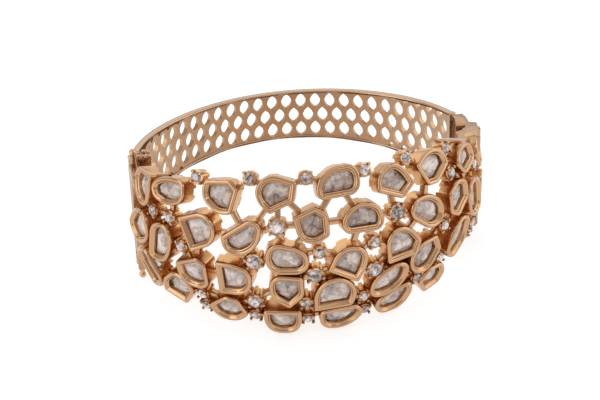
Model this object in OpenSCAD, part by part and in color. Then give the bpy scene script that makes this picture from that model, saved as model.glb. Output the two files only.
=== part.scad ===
/* [Back band] */
// Half width of the bangle at the middle of the band's wall
band_half_width = 31; // [30.5:0.1:31.5]
// Half depth of the bangle at the middle of the band's wall
band_half_depth = 28.1; // [27.8:0.1:28.5]
// Height of the band's top edge above its middle, at the very back
band_top = 5.05; // [4.9:0.05:5.2]
// Depth of the band's bottom edge below its middle, at the very back
band_bottom = 5; // [4.9:0.05:5.2]
// Rise of the top edge for each millimetre forwards
top_slope = 0.075; // [0.06:0.005:0.09]
// Fall of the bottom edge for each millimetre forwards
bottom_slope = 0.12; // [0.1:0.005:0.13]
// Thickness of the pierced wall
band_wall = 0.9; // [0.8:0.05:1.1]
// Thickness of the two solid rims
rim_thick = 1.3; // [1.1:0.1:1.5]
// Height of each solid rim
rim_height = 0.6; // [0.5:0.05:0.7]
// Distance between holes along a row
hole_pitch = 2.82; // [2.7:0.01:3]
// Distance between the three rows of holes
row_pitch = 3.02; // [2.9:0.01:3.1]
// Width of a hole
hole_wide = 2.1; // [1.6:0.05:2.2]
// Height of a hole from point to point
hole_tall = 3.4; // [3:0.05:3.5]

/* [Domed front] */
// Half width of the bangle over the bezels' rims
front_half_width = 32.8; // [32.5:0.1:33]
// Half depth of the bangle over the bezels' rims
front_half_depth = 28; // [27.5:0.1:28.5]
// Radius of the dome along the bangle's axis
dome_radius = 34; // [32:0.5:40]

/* [Bezels] */
// Depth of a bezel from its rim to its open back
bezel_deep = 3.2; // [3:0.1:3.4]
// Width of the polished rim
bezel_rim = 0.75; // [0.6:0.05:0.8]
// Width of the lower step inside the rim
bezel_step = 0.4; // [0.3:0.05:0.45]
// Width of the ledge that the stone sits on
bezel_ledge = 0.45; // [0.4:0.05:0.5]
// Depth of the step below the rim
step_deep = 0.6; // [0.5:0.05:0.7]
// Depth of the ledge below the rim
ledge_deep = 1.9; // [1.8:0.05:2]
// Gap all round a seated stone
stone_gap = 0.05; // [0.03:0.01:0.08]
// Thickness of a flat stone
stone_thick = 1.15; // [0.9:0.05:1.2]

/* [Prong cups] */
// Radius of a small round stone
gem_radius = 0.95; // [0.85:0.05:1]
// Radius of a large round stone
big_gem_radius = 1.3; // [1.2:0.05:1.35]
// Radius of a prong
prong_radius = 0.28; // [0.25:0.01:0.3]
// Depth of the widest edge of a round stone below the rims
girdle_deep = 0.75; // [0.6:0.05:0.9]
// Gap all round a round stone in its seat
seat_gap = 0.04; // [0.03:0.01:0.045]
// Radius of the short bars between the settings
bar_radius = 0.5; // [0.45:0.05:0.55]
// Depth of the bars below the rims
bar_deep = 1.95; // [1.8:0.05:2.1]

/* [Hinge and clasp] */
// Distance of the hinge pin to the left of the bangle's middle
hinge_left = 30.75; // [30.6:0.05:30.8]
// Radius of the hinge pin
pin_radius = 0.45; // [0.4:0.01:0.46]
// Radius of the balls on the pin's ends
ball_radius = 0.65; // [0.6:0.05:0.8]
// Height of the upper ball's centre above the band's middle
ball_high = 11.05; // [10.8:0.05:11.3]
// Depth of the lower ball's centre below the band's middle
ball_low = 14; // [13.5:0.1:14.2]
// Outer radius of the hinge knuckles
knuckle_radius = 0.95; // [0.9:0.01:1]
// Running clearance of the pin in its knuckles
pin_clearance = 0.04; // [0.03:0.01:0.05]
// Half thickness of the clasp's tongue
tongue_half = 0.35; // [0.3:0.05:0.4]
// Half height of the clasp's tongue
tongue_tall = 4.1; // [3.8:0.1:4.2]

/* [Rest] */
// Tip of the bangle about X as it lies on its side
rest_tip = -4.53; // [-5.5:0.01:-3.5]
// Lean of the bangle about Y as it lies on its side
rest_lean = 2.9; // [2:0.01:3.5]
// Shift along X that puts the origin under the middle
rest_x = 0.29; // [-1:0.01:1]
// Shift along Y that puts the origin under the middle
rest_y = -0.42; // [-1:0.01:1]
// Height of the bangle's centre above the surface that it lies on
rest_lift = 13.03; // [12.5:0.01:13.5]

/* [Hidden] */
// Bezels: name, angle from the front, height, and the corners of the rim in its own plane,
// clockwise from the left: x along the front, y along the bangle's axis, and the rounding
BEZELS = [
    ["polki_01", -72, 8,
        [[-2.9, 1, 0.5], [-1.7, 2.9, 0.5], [3, 2.9, 0.8], [3, -0.9, 1.6], [0.9, -2.9, 1.4],
         [-1.6, -2.7, 0.6]]],
    ["polki_02", -53.8, 10,
        [[-4.1, 0.9, 1.2], [-1, 2.8, 2.4], [3.2, 3.1, 1], [3.8, -0.6, 1.2], [0.2, -2.6, 2.2],
         [-3.6, -1.7, 1.2]]],
    ["polki_03", -33.5, 11.6,
        [[-3.3, 2.5, 0.5], [1.2, 3.2, 0.3], [2.9, 1.7, 0.3], [2, -2.7, 0.5], [-0.6, -3, 1.3],
         [-3.7, -0.6, 1.6]]],
    ["polki_04", -17.5, 13,
        [[-3.6, 1.4, 1.8], [-1.2, 3.3, 1.8], [3.3, 2, 0.3], [2.9, -1.4, 0.3], [-1.2, -3.5, 0.3],
         [-3.5, -1.3, 1.5]]],
    ["polki_05", 0.5, 14,
        [[-4, 0.6, 1.2], [-1.6, 3, 2], [2.9, 3.1, 1.5], [3.8, 0.4, 1.4], [2.9, -2.1, 1], [-3.9, -2.4, 1]]],
    ["polki_06", 16.5, 12.5,
        [[-2.6, 2, 1.2], [0.6, 3.6, 1.3], [2.7, 2, 1.3], [4.2, -1.1, 0.3], [1.4, -3.2, 0.4],
         [-3.1, -0.9, 0.5]]],
    ["polki_07", 31.5, 12.4,
        [[-3.7, 1.4, 0.4], [-0.4, 3.4, 1.8], [3, 2.4, 1.6], [3.6, -0.6, 0.5], [0.2, -2.9, 0.4],
         [-2.1, -2.7, 0.4]]],
    ["polki_08", 46.4, 10.3,
        [[-3.1, 0.3, 0.8], [-1, 2.8, 1.2], [2.8, 2.4, 1.2], [3.1, -1.2, 1], [-1.2, -2.6, 0.9]]],
    ["polki_09", 72, 7,
        [[-3, 3.2, 2.9], [3, 3.2, 2.9], [3, -3.2, 2.9], [-3, -3.2, 2.9]]],
    ["polki_10", -71, 0.5,
        [[-4.6, -0.7, 1.2], [-1.6, 3.8, 1.6], [2.4, 3.6, 1.8], [3, -1.6, 1.8], [-1.6, -3.9, 1.5]]],
    ["polki_11", -57, 0.2,
        [[-2.3, 2.8, 1.2], [0.2, 4.3, 1.2], [2.8, 3.4, 1.3], [2.9, -0.4, 1.6], [0.9, -3.9, 1.2],
         [-3.2, -3.9, 1]]],
    ["polki_12", -40, 4.9,
        [[-4, 1.8, 0.4], [0.6, 3.9, 1.8], [3.2, 2.4, 1.8], [3.5, -1.4, 1.8], [-1.2, -4, 0.3]]],
    ["polki_13", -26.5, 4.9,
        [[-4.1, 0.2, 0.5], [1, 4, 1.2], [3.1, 3, 1.5], [2.6, -1.2, 2], [-0.9, -3.3, 1.8],
         [-3.5, -2.3, 1.5]]],
    ["polki_14", -7.5, 7.5,
        [[-3.5, 1.8, 0.3], [0.4, 3.5, 0.3], [2.5, 2, 0.3], [2.7, -1.7, 0.4], [0.4, -3.2, 1.2],
         [-2.5, -2.4, 1.8]]],
    ["polki_15", 6.5, 7.6,
        [[-4.1, 0.6, 1.2], [-1.6, 3.1, 1.8], [1.6, 3.1, 1.8], [3.8, 0.9, 1.3], [3.2, -2.3, 1.1],
         [-3.6, -2, 1.1]]],
    ["polki_16", 26.5, 5.5,
        [[-4, 0.5, 1], [-3, 3.1, 1.1], [0.4, 3.5, 1.6], [3.6, 1.2, 1.3], [3.5, -2.6, 1.3],
         [0.4, -3.5, 1.1]]],
    ["polki_17", 39.5, 4.9,
        [[-2.6, 1.9, 0.5], [0.4, 3.5, 0.8], [2.8, 2.4, 0.9], [2.8, -0.9, 0.5], [-0.6, -3.3, 0.4],
         [-2.8, -2, 0.5]]],
    ["polki_18", 49.5, 2.6,
        [[-2.4, 3.6, 2.3], [2.4, 3.6, 2.3], [2.4, -3.6, 2.3], [-2.4, -3.6, 2.3]]],
    ["polki_19", -69, -7.4,
        [[-3.7, 0.4, 1], [-2.9, 3.2, 0.9], [0.4, 4.3, 0.9], [3.7, -0.6, 1], [2.9, -3.2, 0.9],
         [-0.4, -4.3, 0.9]]],
    ["polki_20", -42.5, -3.5,
        [[-3.2, 1.4, 0.4], [1.2, 3.5, 0.3], [3.1, 2.3, 0.4], [3.3, -2.2, 0.8], [0.6, -3.4, 1.5],
         [-2.6, -2.2, 1.6]]],
    ["polki_21", -29.5, -3,
        [[-3.3, 3.1, 0.3], [0.9, 3.1, 1.2], [3.2, 1.6, 1.6], [2.9, -1.8, 1.6], [1, -3.3, 1],
         [-2.9, -3.3, 0.3]]],
    ["polki_22", -15, 1.6,
        [[-4, 0.6, 1.5], [-2.4, 3.3, 1.4], [2.6, 2.2, 1.6], [4.2, -0.3, 1.2], [2.8, -2.7, 1.6],
         [-2.6, -2.8, 1.8]]],
    ["polki_23", 2, 0.1,
        [[-3.9, -0.9, 0.3], [-2.2, 2.6, 1.6], [0.6, 3.6, 1.6], [3.3, 2, 1.6], [3.1, -1, 1.6],
         [1.4, -4, 0.4]]],
    ["polki_24", 18, 1.5,
        [[-3.6, 1.7, 1.2], [-1.2, 3.7, 1.4], [1.6, 2.6, 1.6], [3.6, -0.3, 0.4], [2.4, -2.9, 0.5],
         [-3.3, -3.1, 0.4]]],
    ["polki_25", 26, -2.5,
        [[-3.9, 0.9, 1.6], [-1.8, 2.8, 1.6], [2.1, 3.1, 0.5], [3.2, 0.1, 0.4], [0.8, -3.5, 1.2],
         [-2, -3.7, 1.5],
         [-3.9, -1.6, 1.6]]],
    ["polki_26", 39, -2.7,
        [[-3.4, -2.5, 0.8], [-2.3, 1.6, 1], [1.2, 4, 0.8], [3.4, 2.5, 0.8], [2.3, -1.6, 1],
         [-1.2, -4, 0.8]]],
    ["polki_27", 70, -8,
        [[-2.8, 3.1, 2.7], [2.8, 3.1, 2.7], [2.8, -3.1, 2.7], [-2.8, -3.1, 2.7]]],
    ["polki_28", -50, -8.2,
        [[-3.6, 0.6, 0.8], [-0.6, 3.6, 0.8], [2, 3.2, 0.8], [3.6, 0.2, 0.8], [1, -3.6, 0.4],
         [-3.9, -2.2, 0.4]]],
    ["polki_29", -15.5, -4.5,
        [[-2.9, 1.6, 1.2], [-1.4, 3.1, 0.8], [3, 2.7, 0.5], [3.2, -1.2, 0.7], [0.6, -4.1, 0.4],
         [-2.7, -1.9, 1.2]]],
    ["polki_30", -1.5, -6.1,
        [[-4, 1.4, 1.5], [-1.2, 3.9, 1.8], [1.8, 3.4, 1.8], [3.8, 0.4, 1.5], [2.8, -2.9, 0.6],
         [-3.9, -3.3, 0.5]]],
    ["polki_31", 14, -5.8,
        [[-4.1, 0.1, 1.2], [-2.4, 2.4, 1.2], [1.2, 4.1, 1.4], [3.6, 3.1, 1.2], [3.3, -0.4, 1.6],
         [0.2, -2.8, 1.6],
         [-3.4, -2.6, 1.2]]],
    ["polki_32", 29.5, -8.9,
        [[-3.4, 0.4, 0.6], [-1.6, 2.9, 0.8], [2, 2.9, 0.8], [3.2, 0.4, 0.7], [2.2, -2, 0.4],
         [-1.4, -2.8, 0.4]]],
    ["polki_33", -31.5, -10.3,
        [[-4.2, 0.4, 0.5], [-1, 3.3, 0.6], [1.3, 2.9, 0.5], [3, -0.8, 0.8], [0.4, -3.3, 2],
         [-3.2, -2.6, 1.8]]],
    ["polki_34", -17, -12.4,
        [[-3.1, 3.1, 0.4], [3.4, 3.2, 0.4], [3.4, -0.6, 1.8], [2, -3.2, 1.8], [-1.7, -3.2, 1.8],
         [-3.2, -0.8, 1.8]]],
    ["polki_35", 0, -11.8,
        [[-4, 2.3, 1.2], [3, 2.8, 1.2], [4.1, 0.6, 1], [2.6, -2.2, 1.6], [-0.4, -3.4, 1.8],
         [-3.4, -2.3, 1.8]]],
    ["polki_36", 16.5, -10.4,
        [[-4.2, 0.2, 1], [-2, 2.4, 1.2], [2.6, 3.6, 0.8], [3.6, 1.2, 1.2], [2, -2.8, 1.6],
         [-2.8, -3, 1.6]]],
    ["polki_37", 71, -0.6,
        [[-2.7, 0, 1.2], [-1.2, 3.6, 0.9], [1.2, 3.6, 0.9], [2.7, 0, 1.2], [1.2, -3.6, 0.9],
         [-1.2, -3.6, 0.9]]]
];
// Prong cups: name, angle from the front, height, 1 for a large stone, number of prongs
CUPS = [
    ["c01", -42.5, 13.8, 0, 4], ["c02", -26, 15, 0, 4], ["c03", -63.5, 5.2, 0, 4],
    ["c04", -53, 5.5, 0, 4], ["c05", -46.5, 0.8, 0, 4], ["c06", -17.5, 7.3, 1, 8],
    ["c07", -24, 0.6, 1, 6], ["c08", -62, -5.2, 0, 4], ["c09", -41, -8.6, 0, 4],
    ["c10", -40.5, -11.4, 0, 4], ["c11", -24.5, -8.1, 1, 6], ["c12", -25, -11.7, 0, 4],
    ["c13", -9, 15.3, 0, 4], ["c14", 9, 15.4, 0, 4], ["c15", 23.5, 15.4, 0, 4],
    ["c16", 39.5, 13.8, 0, 4], ["c17", 39, 9.6, 0, 4], ["c18", 59, 7, 0, 4],
    ["c19", 17, 7.2, 1, 8], ["c20", 60.5, 0.8, 0, 4], ["c21", 9.5, 2.9, 0, 4],
    ["c22", -6, 2.5, 0, 4], ["c23", -7.5, -2, 1, 6], ["c24", 9.5, -2.6, 1, 6],
    ["c25", 33.5, 1, 0, 4], ["c26", 32.5, -5.5, 0, 4], ["c27", 24, -7.6, 0, 4],
    ["c28", 6.5, -8.3, 0, 4], ["c29", 7.5, -11.7, 0, 4], ["c30", -10, -8.1, 0, 4],
    ["c31", -9.5, -12.2, 0, 4], ["c32", 50.5, -3.2, 0, 4], ["c33", 58, -6.6, 0, 4]
];
// Bars: the two settings that each one joins
BARS = [
    ["01", "02"], ["02", "c01"], ["c01", "03"], ["03", "c02"], ["c02", "04"], ["04", "c13"],
    ["c13", "05"], ["05", "c14"], ["c14", "06"], ["06", "c15"], ["c15", "07"], ["07", "c16"],
    ["c16", "08"], ["c17", "07"], ["c17", "08"], ["c17", "17"], ["01", "c03"], ["c03", "10"],
    ["c03", "c04"], ["c04", "02"], ["c04", "11"], ["c04", "12"], ["10", "11"], ["11", "c05"],
    ["c05", "12"], ["12", "03"], ["12", "13"], ["03", "13"], ["13", "04"], ["04", "14"],
    ["c06", "04"], ["c06", "13"], ["c06", "14"], ["c06", "22"], ["05", "14"], ["05", "15"],
    ["14", "15"], ["14", "22"], ["15", "23"], ["06", "c19"], ["c19", "15"], ["c19", "16"],
    ["c19", "24"], ["07", "16"], ["16", "c25"], ["c25", "17"], ["c25", "26"], ["c25", "25"],
    ["16", "24"], ["08", "c18"], ["c18", "09"], ["17", "18"], ["c20", "18"], ["c20", "37"],
    ["17", "26"], ["10", "19"], ["19", "c08"], ["c08", "11"], ["19", "28"], ["28", "20"],
    ["c05", "20"], ["12", "20"], ["20", "21"], ["21", "13"], ["c07", "13"], ["c07", "22"],
    ["c07", "21"], ["22", "29"], ["c22", "22"], ["c22", "23"], ["c22", "14"], ["c23", "22"],
    ["c23", "29"], ["c23", "23"], ["c23", "30"], ["c21", "15"], ["c21", "23"], ["c21", "24"],
    ["c24", "23"], ["c24", "24"], ["c24", "31"], ["24", "25"], ["24", "31"], ["25", "c27"],
    ["25", "c26"], ["c26", "26"], ["c26", "32"], ["c27", "32"], ["c27", "31"], ["28", "c09"],
    ["c09", "20"], ["c09", "c10"], ["c10", "33"], ["c09", "33"], ["21", "33"], ["21", "c11"],
    ["c11", "29"], ["c11", "33"], ["c11", "c12"], ["c12", "34"], ["c12", "33"], ["29", "34"],
    ["c30", "29"], ["c30", "30"], ["c30", "c31"], ["c31", "34"], ["c31", "35"], ["30", "35"],
    ["23", "30"], ["c28", "30"], ["c28", "31"], ["c28", "c29"], ["c29", "35"], ["c29", "36"],
    ["31", "36"], ["36", "32"], ["09", "37"], ["37", "27"], ["26", "c32"], ["c32", "c33"],
    ["c33", "27"], ["c32", "18"], ["c20", "c18"], ["18", "08"], ["26", "c33"]
];
band_oval = [band_half_width, band_half_depth];
front_oval = [front_half_width, front_half_depth];
bezel_wall = bezel_rim + bezel_step;
// Angles of the band's two ends, counted from +X
band_start = 17.9;
band_end = 179;
tongue_radius = 61.4;
rail_high = 9.3;
plate_near = -2.6;
plate_far = -1.6;
plate_top = 8.7;
plate_bottom = -11.6;

function unit(v) = v / norm(v);
function row_of(table, name) = table[search([name], table)[0]];

// One rounded corner as a short run of points
function corner(a, p, b, r, steps) =
    let (u = unit(a - p), v = unit(b - p), half = acos(u * v) / 2)
    let (cut = min(r / tan(half), 0.49 * norm(a - p), 0.49 * norm(b - p)))
    let (from = p + u * cut, to = p + v * cut)
    [for (k = [0:steps]) let (q = k / steps) (1 - q) * (1 - q) * from + 2 * q * (1 - q) * p + q * q * to];

// A corner moved in so that both sides beside it lie further in by the same distance
function moved(a, p, b, by) =
    let (u = unit(p - a), v = unit(b - p), m = [u[1], -u[0]], n = [v[1], -v[0]])
    p + by * (m + n) / (1 + m * n);

// The corners of an outline, all its sides moved in by the same distance
function inset(corners, by) =
    let (n = len(corners), pts = [for (c = corners) [c[0], c[1]]])
    [for (i = [0:n - 1]) moved(pts[(i + n - 1) % n], pts[i], pts[(i + 1) % n], by)];

// The rounded outline of a bezel or stone, moved in from the rim
function outline(corners, by = 0) =
    let (n = len(corners), pts = inset(corners, by))
    [for (i = [0:n - 1]) each corner(pts[(i + n - 1) % n], pts[i], pts[(i + 1) % n],
        max(corners[i][2] - by, 0.1), corners[i][2] > 1.4 ? 2 : 1)];

// An oval of four arcs: the centre and the radius of the arc that faces an angle
function arc_shift(oval) = (oval[0] - oval[1]) / (2 - sqrt(2));
function arc_centre(oval, angle) =
    abs(cos(angle)) > abs(sin(angle))
        ? [sign(cos(angle)) * arc_shift(oval), 0]
        : [0, -sign(sin(angle)) * arc_shift(oval)];
function arc_radius(oval, angle) =
    oval[0] - arc_shift(oval) + (abs(cos(angle)) > abs(sin(angle)) ? 0 : arc_shift(oval) * sqrt(2));
function oval_point(oval, angle, out = 0) =
    arc_centre(oval, angle) + (arc_radius(oval, angle) + out) * [cos(angle), sin(angle)];

// A point of the dome, a little below its rims
function dome_drop(height) = dome_radius - sqrt(dome_radius * dome_radius - height * height);
function dome_point(angle, height, below = 0) =
    let (tilt = asin(height / dome_radius))
    let (p = oval_point(front_oval, angle - 90, -dome_drop(height) - tuck(angle, height) - below * cos(tilt)))
    [p[0], p[1], height - below * sin(tilt)];

// How far the front is set in towards the clasp, so that it closes flush
function tuck(angle, height) =
    angle < 52 ? 0 : min(1, (angle - 52) / 12) * (0.9 + 0.12 * max(0, -height));

// Puts its children on the dome, with Z outwards and Y along the bangle's axis
module on_dome(angle, height) {
    translate(dome_point(angle, height))
        rotate([0, 0, angle - 90]) rotate([90, 0, 90]) rotate([-asin(height / dome_radius), 0, 0]) children();
}

// Sweeps a profile of the wall round part of the band's oval
module along_band(from, to, inner, outer, low = -12, high = 12) {
    stops = concat([from], [for (a = [45, 135]) if (a > from && a < to) a], [to]);
    for (i = [0:len(stops) - 2]) {
        middle = (stops[i] + stops[i + 1]) / 2;
        translate(arc_centre(band_oval, middle)) rotate([0, 0, stops[i]])
            rotate_extrude(angle = stops[i + 1] - stops[i], $fn = 96)
                translate([arc_radius(band_oval, middle) + inner, low]) square([outer - inner, high - low]);
    }
}

// The space between the band's sloping top and bottom edges, less a margin
module between_edges(margin) {
    high = [for (y = [-4, 34]) band_top + top_slope * (band_half_depth - y) - margin];
    low = [for (y = [-4, 34]) -band_bottom - bottom_slope * (band_half_depth - y) + margin];
    translate([-40, 0, 0]) rotate([90, 0, 90]) linear_extrude(80)
        polygon([[-4, low[0]], [34, low[1]], [34, high[1]], [-4, high[0]]]);
}

// The angle of a point that lies a given way along the wall from the middle of the back
back_radius = arc_radius(band_oval, 90);
end_radius = arc_radius(band_oval, 0);
quarter = back_radius * PI / 4;
function back_angle(way) =
    abs(way) < quarter ? way / back_radius * 180 / PI
        : sign(way) * (45 + (abs(way) - quarter) / end_radius * 180 / PI);

// Rows of pointed holes, each row half a pitch along from the next
module holes() {
    w = hole_wide / 2;
    h = hole_tall / 2;
    intersection() {
        between_edges(rim_height);
        for (row = [-2:2]) for (j = [-13:13]) {
            way = (row % 2 == 0 ? 0.87 : -0.54) + j * hole_pitch;
            turn = 90 - back_angle(way);
            if (abs(way) < 36.3 && (abs(row) < 2 || abs(way) > 21))
                translate(oval_point(band_oval, turn)) rotate([0, 0, turn]) rotate([90, 0, 90])
                    translate([0, row * row_pitch, -1.5]) linear_extrude(3)
                        polygon([[0, -h], [w * 0.6, -h * 0.66], [w, -h * 0.2], [w, h * 0.2],
                                 [w * 0.6, h * 0.66], [0, h], [-w * 0.6, h * 0.66], [-w, h * 0.2],
                                 [-w, -h * 0.2], [-w * 0.6, -h * 0.66]]);
        }
    }
}

// The bezel's own outline, moved in all round
module bezel_prism(b, by, low, high) {
    translate([0, 0, low]) linear_extrude(high - low) polygon(outline(b[3], by));
}

module bezel_hollow(b) {
    bezel_prism(b, bezel_rim, -step_deep, 1);
    bezel_prism(b, bezel_wall, -ledge_deep, 1);
    bezel_prism(b, bezel_wall + bezel_ledge, -bezel_deep - 1, 1);
    // The notches in the back edge of the wall
    for (turn = [15, 75, 135]) rotate([0, 0, turn])
        translate([-6, -0.6, -bezel_deep - 1]) cube([12, 1.2, 1.55]);
}

function cup_gem(c) = c[3] == 1 ? big_gem_radius : gem_radius;

module cup_body(c) {
    r = cup_gem(c);
    translate([0, 0, -2.9]) cylinder(h = 2.9 - girdle_deep - 0.12, r = r + 0.3, $fn = 10);
    for (k = [0:c[4] - 1]) rotate([0, 0, 360 * k / c[4] + 45])
        translate([r + prong_radius + stone_gap, 0, -2.4])
            cylinder(h = 2.4 - girdle_deep + 0.5, r = prong_radius, $fn = 6);
}

module cup_hollow(c) {
    translate([0, 0, -bezel_deep - 1]) cylinder(h = bezel_deep + 1, r = cup_gem(c) - 0.08, $fn = 10);
    // The seat of the stone, clear of the bezels beside it
    translate([0, 0, -girdle_deep - 0.16]) cylinder(h = 1.3, r = cup_gem(c) + seat_gap, $fn = 8);
}

// The place of a setting that a bar names: a prong cup or a bezel
function setting(name) =
    let (r = name[0] == "c" ? row_of(CUPS, name) : row_of(BEZELS, str("polki_", name)))
    dome_point(r[1], r[2], bar_deep);

module bar(from, to) {
    run = to - from;
    translate(from) rotate([0, acos(run[2] / norm(run)), atan2(run[1], run[0])])
        cylinder(h = norm(run), r = bar_radius, $fn = 6);
}

// The flat rail along the top of an end, its end plate and the block that it closes on
module rail(first, last, side) {
    r = front_half_width - arc_shift(front_oval) - dome_drop(rail_high) - (side > 0 ? 0.9 : 0);
    translate([side * arc_shift(front_oval), 0, rail_high - 0.4]) rotate([0, 0, first])
        rotate_extrude(angle = last - first, $fn = 96) translate([r - 3.1, 0]) square([2.7, 0.8]);
}

module hinge_end() {
    translate([-31.65, plate_near, plate_bottom])
        cube([3.2, plate_far - plate_near, plate_top - plate_bottom]);
    // The block that carries the rail and stops short of the hinge in a V
    translate([0, 0, 7.4]) linear_extrude(plate_top - 7.4)
        polygon([[-31.3, -5.6], [-27.5, -6], [-27.6, -1.3], [-28.9, -3.3], [-30.7, -1.3], [-31.65, -1.3]]);
    translate([0, 0, 7.4]) linear_extrude(rail_high + 0.4 - 7.4)
        polygon([[-31.2, -6.6], [-28.2, -6.6], [-28.2, -4.4], [-31.2, -4.4]]);
    rail(193, 213, -1);
    // The outer knuckles, each on a lug from the plate
    for (z = [[7.4, plate_top], [plate_bottom, -9]]) {
        translate([-hinge_left, 0, z[0]]) cylinder(h = z[1] - z[0], r = knuckle_radius, $fn = 48);
        translate([-hinge_left - 0.6, plate_near, z[0]]) cube([1.2, -plate_near, z[1] - z[0]]);
    }
}

module clasp_end() {
    translate([28.55, plate_near, plate_bottom])
        cube([3.2, plate_far - plate_near, plate_top - plate_bottom]);
    translate([0, 0, -7.2]) linear_extrude(13.8)
        polygon([[29.35, 7.5], [29.4, 5.6], [28.8, 2.9], [28.6, plate_near], [31.7, plate_near],
                 [31.7, 4.4], [31.7, 6.2], [31.4, 7.5]]);
    translate([0, 0, 6]) linear_extrude(plate_top - 6)
        polygon([[30.7, -5.8], [31.7, -0.3], [30.2, 0.3], [29.1, -1.4], [28.7, -2.2], [26.8, -2.9],
                 [26.8, -5.8]]);
    translate([0, 0, 6]) linear_extrude(rail_high + 0.4 - 6)
        polygon([[30.1, -6.8], [27.4, -6.8], [27.4, -4.8], [30.1, -4.8]]);
    rail(-40, -13, 1);
}

// The slot in the clasp box that the tongue slides into, about the hinge
module tongue_slot() {
    translate([-hinge_left, 0, -tongue_tall - 0.3]) rotate([0, 0, 2.6])
        rotate_extrude(angle = 6, $fn = 96)
            translate([tongue_radius - tongue_half - 0.25, 0])
                square([2 * tongue_half + 0.5, 2 * tongue_tall + 0.6]);
}

module front_solid() {
    for (b = BEZELS) on_dome(b[1], b[2]) bezel_prism(b, 0, -bezel_deep, 0);
    for (c = CUPS) on_dome(c[1], c[2]) cup_body(c);
    for (pair = BARS) bar(setting(pair[0]), setting(pair[1]));
    hinge_end();
    clasp_end();
}

module front_frame() {
    color("#cc9970") at_rest() difference() {
        front_solid();
        for (b = BEZELS) on_dome(b[1], b[2]) bezel_hollow(b);
        for (c = CUPS) on_dome(c[1], c[2]) cup_hollow(c);
        translate([-hinge_left, 0, -16]) cylinder(h = 32, r = pin_radius + pin_clearance, $fn = 48);
        tongue_slot();
        // The notch in the inner top edge of the clasp box
        translate([0, 0, 4.8]) linear_extrude(3) polygon([[28, 3.1], [30.8, 2.8], [30.6, 0.8], [28, -0.5]]);
    }
}

module back_band() {
    knuckle_top = 7.3;
    knuckle_foot = -8.9;
    color("#cf9d74") at_rest() difference() {
        union() {
            difference() {
                intersection() {
                    along_band(band_start, band_end, -rim_thick / 2, rim_thick / 2);
                    between_edges(0);
                }
                difference() {
                    between_edges(rim_height);
                    along_band(0, 180, -band_wall / 2, band_wall / 2);
                    along_band(0, 20.4, -2, 2);
                    along_band(160.5, 180, -2, 2);
                }
                holes();
            }
            // The thicker bar at the clasp end, and the tongue that it carries
            intersection() {
                along_band(band_start, band_start + 2.4, -rim_thick / 2, 1.25);
                between_edges(0);
            }
            translate([-hinge_left, 0, -tongue_tall]) rotate([0, 0, 3.4])
                rotate_extrude(angle = 4.8, $fn = 96)
                    translate([tongue_radius - tongue_half, 0]) square([2 * tongue_half, 2 * tongue_tall]);
            // The middle knuckle
            translate([-hinge_left, 0, knuckle_foot])
                cylinder(h = knuckle_top - knuckle_foot, r = knuckle_radius, $fn = 48);
        }
        translate([-hinge_left, 0, -16]) cylinder(h = 32, r = pin_radius + pin_clearance, $fn = 48);
    }
}

module hinge_pin() {
    color("#d8ab84") at_rest() translate([-hinge_left, 0, 0]) {
        translate([0, 0, -ball_low]) cylinder(h = ball_low + ball_high, r = pin_radius, $fn = 32);
        translate([0, 0, ball_high]) sphere(r = ball_radius, $fn = 32);
        translate([0, 0, -ball_low]) sphere(r = ball_radius, $fn = 32);
    }
}

// A flat stone: its base, its widest edge and its table, joined by facets
module polki(b) {
    edge = bezel_wall + stone_gap;
    floor_z = -ledge_deep + stone_gap;
    color("#c9bfc4") at_rest() on_dome(b[1], b[2]) hull() {
        translate([0, 0, floor_z]) linear_extrude(0.05) polygon(outline(b[3], edge + 0.35));
        translate([0, 0, floor_z + 0.4]) linear_extrude(0.05) polygon(outline(b[3], edge));
        translate([0, 0, floor_z + stone_thick - 0.05]) linear_extrude(0.05) polygon(0.5 * inset(b[3], edge));
    }
}

// A round stone with a table, eight upper facets and eight lower ones
module gem(r) {
    rotate_extrude($fn = 8)
        polygon([[0, -0.6 * r], [r, -0.04], [r, 0.04], [0.55 * r, 0.36 * r], [0, 0.36 * r]]);
}

module small_stones() {
    color("#e6e2ea") at_rest()
        for (c = CUPS) on_dome(c[1], c[2]) translate([0, 0, -girdle_deep]) gem(cup_gem(c));
}

// Lays the whole bangle on its side
module at_rest() {
    translate([rest_x, rest_y, rest_lift]) rotate([rest_tip, rest_lean, 0]) children();
}

front_frame();
back_band();
hinge_pin();
small_stones();
for (b = BEZELS) polki(b);
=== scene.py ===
import math
import random

import bmesh
import bpy
from mathutils import Matrix, Vector
from mathutils.bvhtree import BVHTree


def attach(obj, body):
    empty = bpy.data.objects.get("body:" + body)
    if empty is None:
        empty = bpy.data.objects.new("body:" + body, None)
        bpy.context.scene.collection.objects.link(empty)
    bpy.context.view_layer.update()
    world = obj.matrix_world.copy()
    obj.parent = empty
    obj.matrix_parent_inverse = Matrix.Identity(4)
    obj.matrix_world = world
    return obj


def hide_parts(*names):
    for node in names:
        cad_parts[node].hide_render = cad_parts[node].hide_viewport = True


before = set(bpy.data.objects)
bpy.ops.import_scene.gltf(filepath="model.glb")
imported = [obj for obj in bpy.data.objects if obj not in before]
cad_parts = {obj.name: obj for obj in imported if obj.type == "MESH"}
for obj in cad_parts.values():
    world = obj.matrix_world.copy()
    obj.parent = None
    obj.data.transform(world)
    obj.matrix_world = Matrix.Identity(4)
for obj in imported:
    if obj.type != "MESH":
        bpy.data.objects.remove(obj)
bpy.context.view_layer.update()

# Camera
# The bangle is drawn upright in millimetres, X from the hinge to the clasp and Z along its axis, and
# then laid on its side. The photograph looks down on its front, a little from the left, from far off.
laid_turn = Matrix.Rotation(math.radians(2.9), 4, "Y") @ Matrix.Rotation(math.radians(-4.53), 4, "X")
LAID = Matrix.Translation((0.00029, -0.00042, 0.01303)) @ laid_turn @ Matrix.Scale(0.001, 4)
aim_up, aim_side, roll = math.radians(30.23), math.radians(-11.66), math.radians(1.59)
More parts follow.
